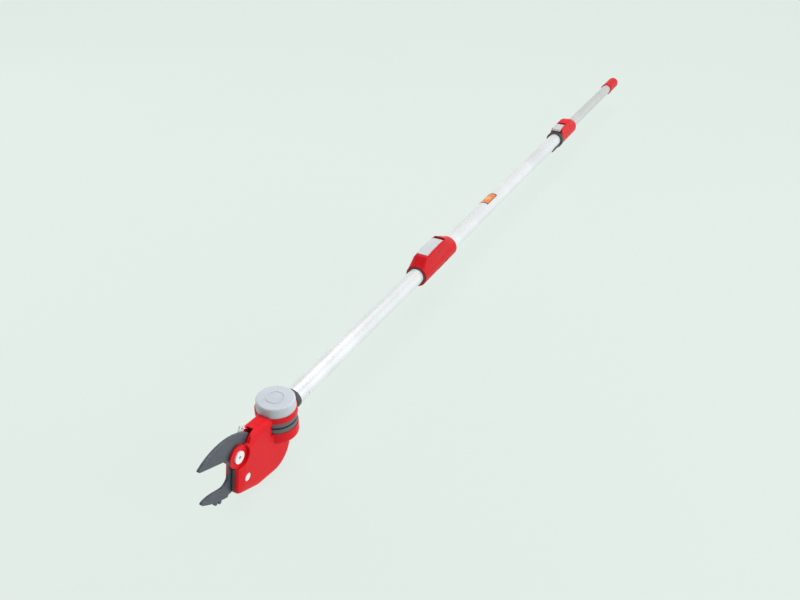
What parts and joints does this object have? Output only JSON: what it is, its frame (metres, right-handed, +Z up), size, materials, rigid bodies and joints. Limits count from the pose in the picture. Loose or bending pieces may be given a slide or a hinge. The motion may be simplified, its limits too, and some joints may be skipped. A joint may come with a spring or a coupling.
{
  "type": "telescopic tree pruner pole",
  "caption": "Telescopic pole with lever tube clamps, a swivelling bypass pruning head and a pull knob that works its blade by a cord inside the tubes.",
  "frame": {"origin": "centre of the flat butt end of the pull knob, on the pole's axis", "axes": "+X along the pole from the butt to the cutting head, +Z up through the clamp levers and the swivel knob, +Y towards the side of the head with the bolt heads"},
  "size_m": [1.9397, 0.057, 0.1167],
  "materials": {
    "tube": "white-silver anodised",
    "red_plastic": "satin moulded plastic",
    "dark_plastic": "dark grey moulded plastic",
    "light_plastic": "light grey moulded plastic",
    "knob_plastic": "blue-grey moulded plastic",
    "white_plastic": "natural nylon",
    "rubber": "brake rubber",
    "steel": "zinc-plated steel",
    "blade_coating": "dark grey non-stick coating on steel",
    "brass": "plain bearing brass",
    "cord": "braided cord"
  },
  "bodies": {
    "middle": {"middle_tube": "tube", "upper_clamp_body": "red_plastic", "upper_clamp_bush": "dark_plastic", "upper_clamp_shoe": "rubber", "upper_lever_pin": "steel", "upper_shoe_pin": "steel", "upper_clamp_screws": "steel", "lower_clamp_body": "red_plastic", "lower_clamp_collar": "dark_plastic", "lower_clamp_bush": "dark_plastic", "lower_clamp_shoe": "rubber", "lower_lever_pin": "steel", "lower_shoe_pin": "steel", "lower_clamp_screws": "steel"},
    "upper_lever": {"upper_clamp_lever": "light_plastic"},
    "lower_lever": {"lower_clamp_lever": "light_plastic"},
    "upper": {"upper_tube": "tube", "upper_tube_bush": "dark_plastic", "swivel_eye": "dark_plastic", "socket_rivets": "steel", "pull_cord_upper": "cord"},
    "guide_roller": {"guide_roller": "white_plastic"},
    "head": {"left_shell": "red_plastic", "right_shell": "red_plastic", "hook_blade": "blade_coating", "pivot_bolt": "steel", "pivot_nut": "steel", "hook_bolt": "steel", "hook_nut": "steel", "shell_screws": "steel", "spring_peg": "steel", "return_spring": "steel", "cord_anchor_pin": "steel", "pull_cord_head": "cord", "swivel_nut": "steel", "head_roller_pin": "steel"},
    "head_roller": {"head_roller": "white_plastic"},
    "knob": {"swivel_knob": "knob_plastic", "knob_stud": "steel"},
    "blade": {"cutting_blade": "blade_coating", "pivot_bush": "brass", "spring_lug": "steel", "pulley_pin": "steel"},
    "tail_pulley": {"tail_pulley": "white_plastic"},
    "lower": {"lower_tube": "tube", "lower_tube_bush": "dark_plastic"},
    "pull": {"pull_knob": "red_plastic", "pull_rim_ring": "dark_plastic", "pull_stem": "white_plastic", "pull_cord_lower": "cord", "cord_ferrule": "steel"}
  },
  "joints": [
    {"name": "upper_slide", "type": "slide", "parent": "middle", "child": "upper", "axis": [1, 0, 0], "range_m": [-0.3, 0.16]},
    {"name": "lower_slide", "type": "slide", "parent": "middle", "child": "lower", "axis": [-1, 0, 0], "range_m": [-0.34, 0.1]},
    {"name": "upper_lever_open", "type": "hinge", "parent": "middle", "child": "upper_lever", "pos_m": [1.2795, 0, 0.02796], "axis": [0, -1, 0], "range_deg": [0, 75]},
    {"name": "lower_lever_open", "type": "hinge", "parent": "middle", "child": "lower_lever", "pos_m": [0.544, 0, 0.02198], "axis": [0, -1, 0], "range_deg": [0, 75]},
    {"name": "head_swivel", "type": "hinge", "parent": "upper", "child": "head", "pos_m": [1.783, 0, 0], "axis": [0, 0, 1], "range_deg": [-115, 115]},
    {"name": "knob_turn", "type": "hinge", "parent": "head", "child": "knob", "pos_m": [1.783, 0, 0], "axis": [0, 0, 1], "range_deg": [0, 270]},
    {"name": "blade_close", "type": "hinge", "parent": "head", "child": "blade", "pos_m": [1.8745, 0, 0.001], "axis": [0, 1, 0], "range_deg": [0, 47], "stiffness_Nm_per_rad": 1.5, "springref_deg": -11.46, "deforming": ["return_spring", "pull_cord_head"]},
    {"name": "pull_slide", "type": "slide", "parent": "lower", "child": "pull", "axis": [-1, 0, 0], "range_m": [-0.001, 0.032]},
    {"name": "tail_pulley_turn", "type": "hinge", "parent": "blade", "child": "tail_pulley", "pos_m": [1.851, 0, -0.031], "axis": [0, 1, 0], "range_deg": [-5, 105]},
    {"name": "head_roller_turn", "type": "hinge", "parent": "head", "child": "head_roller", "pos_m": [1.82, 0, -0.01035], "axis": [0, -1, 0], "range_deg": [-10, 280]},
    {"name": "guide_roller_turn", "type": "hinge", "parent": "upper", "child": "guide_roller", "pos_m": [1.783, 0, 0], "axis": [0, 0, -1], "range_deg": [-10, 280]}
  ],
  "couplings": [
    {"joint": "pull_slide", "follows": "blade_close", "m_per_rad": 0.0335},
    {"joint": "tail_pulley_turn", "follows": "blade_close", "ratio": 2},
    {"joint": "head_roller_turn", "follows": "blade_close", "ratio": 5.5},
    {"joint": "guide_roller_turn", "follows": "blade_close", "ratio": 5.5}
  ]
}
